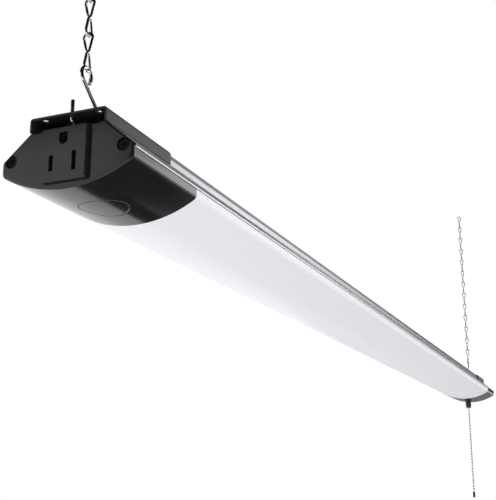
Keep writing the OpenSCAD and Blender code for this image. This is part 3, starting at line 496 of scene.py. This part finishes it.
slot_of = {row["node"]: row["material_slot"] for row in frame["record"]["subparts"]}
for name, node in nodes.items():
    node.data.materials.clear()
    node.data.materials.append(FINISHES[slot_of[name]])
replacing = wire_pieces + rounded
for piece in replacing:
    piece.data.materials.append(FINISHES[piece["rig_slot"]])
print("finished", len(nodes) + len(replacing), "pieces with", len(FINISHES), "finishes")

# %% [markdown]
# ## The studio
#
# The photograph has a white background and soft light from all round. The
# sky is white to the camera and in reflections, and lights the object at a
# plain level. The floor lies as far below the hanging points as a garage
# floor lies below its ceiling. Large soft lamps add shape. Black mouldings and
# bright metal show what stands round them, so there are dark cloths and grey
# cards, which only show in reflections: the near cap mirrors the cloth on the
# floor, and the rail darkens towards the far end because it mirrors the screen
# behind it. Their places were found by trying, for this one view.

# %% Sky and floor
SKY_LIGHT = 0.96
FLOOR_Z = -2.4
FLOOR_HALF = 12.0

world = bpy.data.worlds.new("studio_sky")
bpy.context.scene.world = world
world.use_nodes = True
sky = world.node_tree
sky.nodes.clear()


def white_sky(strength):
    made = sky.nodes.new("ShaderNodeBackground")
    made.inputs["Strength"].default_value = strength
    made.inputs["Color"].default_value = (1.0, 1.0, 1.0, 1.0)
    return made.outputs[0]


seen = white_sky(1.0)
light = white_sky(SKY_LIGHT)
rays = sky.nodes.new("ShaderNodeLightPath")
first_or = sky.nodes.new("ShaderNodeMath")
first_or.operation = "MAXIMUM"
second_or = sky.nodes.new("ShaderNodeMath")
second_or.operation = "MAXIMUM"
pick = sky.nodes.new("ShaderNodeMixShader")
sky_out = sky.nodes.new("ShaderNodeOutputWorld")
sky.links.new(rays.outputs["Is Camera Ray"], first_or.inputs[0])
sky.links.new(rays.outputs["Is Glossy Ray"], first_or.inputs[1])
sky.links.new(first_or.outputs[0], second_or.inputs[0])
sky.links.new(rays.outputs["Is Transmission Ray"], second_or.inputs[1])
sky.links.new(second_or.outputs[0], pick.inputs["Fac"])
sky.links.new(light, pick.inputs[1])
sky.links.new(seen, pick.inputs[2])
sky.links.new(pick.outputs[0], sky_out.inputs["Surface"])



def flat_corners(low_x, low_y, high_x, high_y, z):
    return [(low_x, low_y, z), (high_x, low_y, z), (high_x, high_y, z), (low_x, high_y, z)]


ONE_FACE = [[0, 1, 2, 3]]
floor_points = flat_corners(-FLOOR_HALF, -FLOOR_HALF, FLOOR_HALF, FLOOR_HALF, FLOOR_Z)
floor = make_object("floor", floor_points, ONE_FACE, smooth=False)
floor.data.materials.append(finish("floor_paint", (0.93, 0.93, 0.93), 0.8, grain_mm=40.0,
                                   spread=0.01, depth_mm=0.0, edge_mm=0.0))
print("floor", -FLOOR_Z, "m below the hanging points")

# %% Lamps, cloths and cards
LAMP_TARGET = Vector((0.0, 0.0, -0.25))


def lamp(name, place, size, watts):
    data = bpy.data.lights.new(name, "AREA")
    data.shape = "DISK"
    data.size = size
    data.energy = watts
    made = bpy.data.objects.new(name, data)
    made.location = place
    made.rotation_mode = "QUATERNION"
    made.rotation_quaternion = (LAMP_TARGET - Vector(place)).to_track_quat("-Z", "Y")
    bpy.context.scene.collection.objects.link(made)


lamp("right_lamp", (2.6, 3.4, 0.9), 2.4, 24.0)
lamp("left_lamp", (-2.0, 0.4, -1.6), 1.2, 13.0)


def flag(name, points, faces, shade_of_grey):
    """A cloth or card that only shows in glossy reflections."""
    made = make_object(name, points, faces)
    made.data.materials.append(finish(name + "_cloth", (shade_of_grey,) * 3, 0.9, grain_mm=5.0,
                                      depth_mm=0.0, edge_mm=0.0, specular=0.0))
    made.visible_camera = False
    made.visible_diffuse = False
    made.visible_shadow = False
    made.visible_transmission = False


def flat_flag(name, low_x, low_y, high_x, high_y, z, shade_of_grey):
    flag(name, flat_corners(low_x, low_y, high_x, high_y, z), ONE_FACE, shade_of_grey)


def round_flag(name, radius, from_deg, to_deg, low_z, high_z, shade_of_grey):
    points, faces = [], []
    for i in range(FLAG_STEPS + 1):
        turn = math.radians(from_deg + (to_deg - from_deg) * i / FLAG_STEPS)
        for z in (low_z, high_z):
            points.append((radius * math.cos(turn), radius * math.sin(turn), z))
        if i:
            faces.append([2 * i - 2, 2 * i, 2 * i + 1, 2 * i - 1])
    flag(name, points, faces, shade_of_grey)


FLAG_STEPS = 24
CLOTH_Z = FLOOR_Z + 0.05
CARD_Z = CLOTH_Z + 0.01
TOP_Z = 2.4
BLACK = 0.01
flat_flag("dark_cloth", -2.31, 0.9, 3.5, 9.0, CLOTH_Z, BLACK)
flat_flag("grey_card", -1.1, 2.75, 1.6, 4.2, CARD_Z, 0.25)
flat_flag("far_card", -2.3, 6.8, 2.0, 12.0, CARD_Z, 0.4)
round_flag("dark_curtain", 4.0, -116.0, 44.0, FLOOR_Z, TOP_Z, BLACK)
round_flag("dark_screen", 4.2, 74.5, 98.0, 0.0, 2.0, BLACK)
round_flag("low_screen", 4.2, 86.0, 112.0, -1.0, -0.2, 0.3)
flat_flag("dark_canopy", -6.0, -6.0, 6.0, 6.0, TOP_Z + 0.01, BLACK)
print("two lamps, and cloths and cards that only show in reflections")

# %% [markdown]
# ## View settings and the end
#
# Colours are shown as they are, with no film look.

# %% Finish
bpy.context.scene.view_settings.view_transform = "Standard"
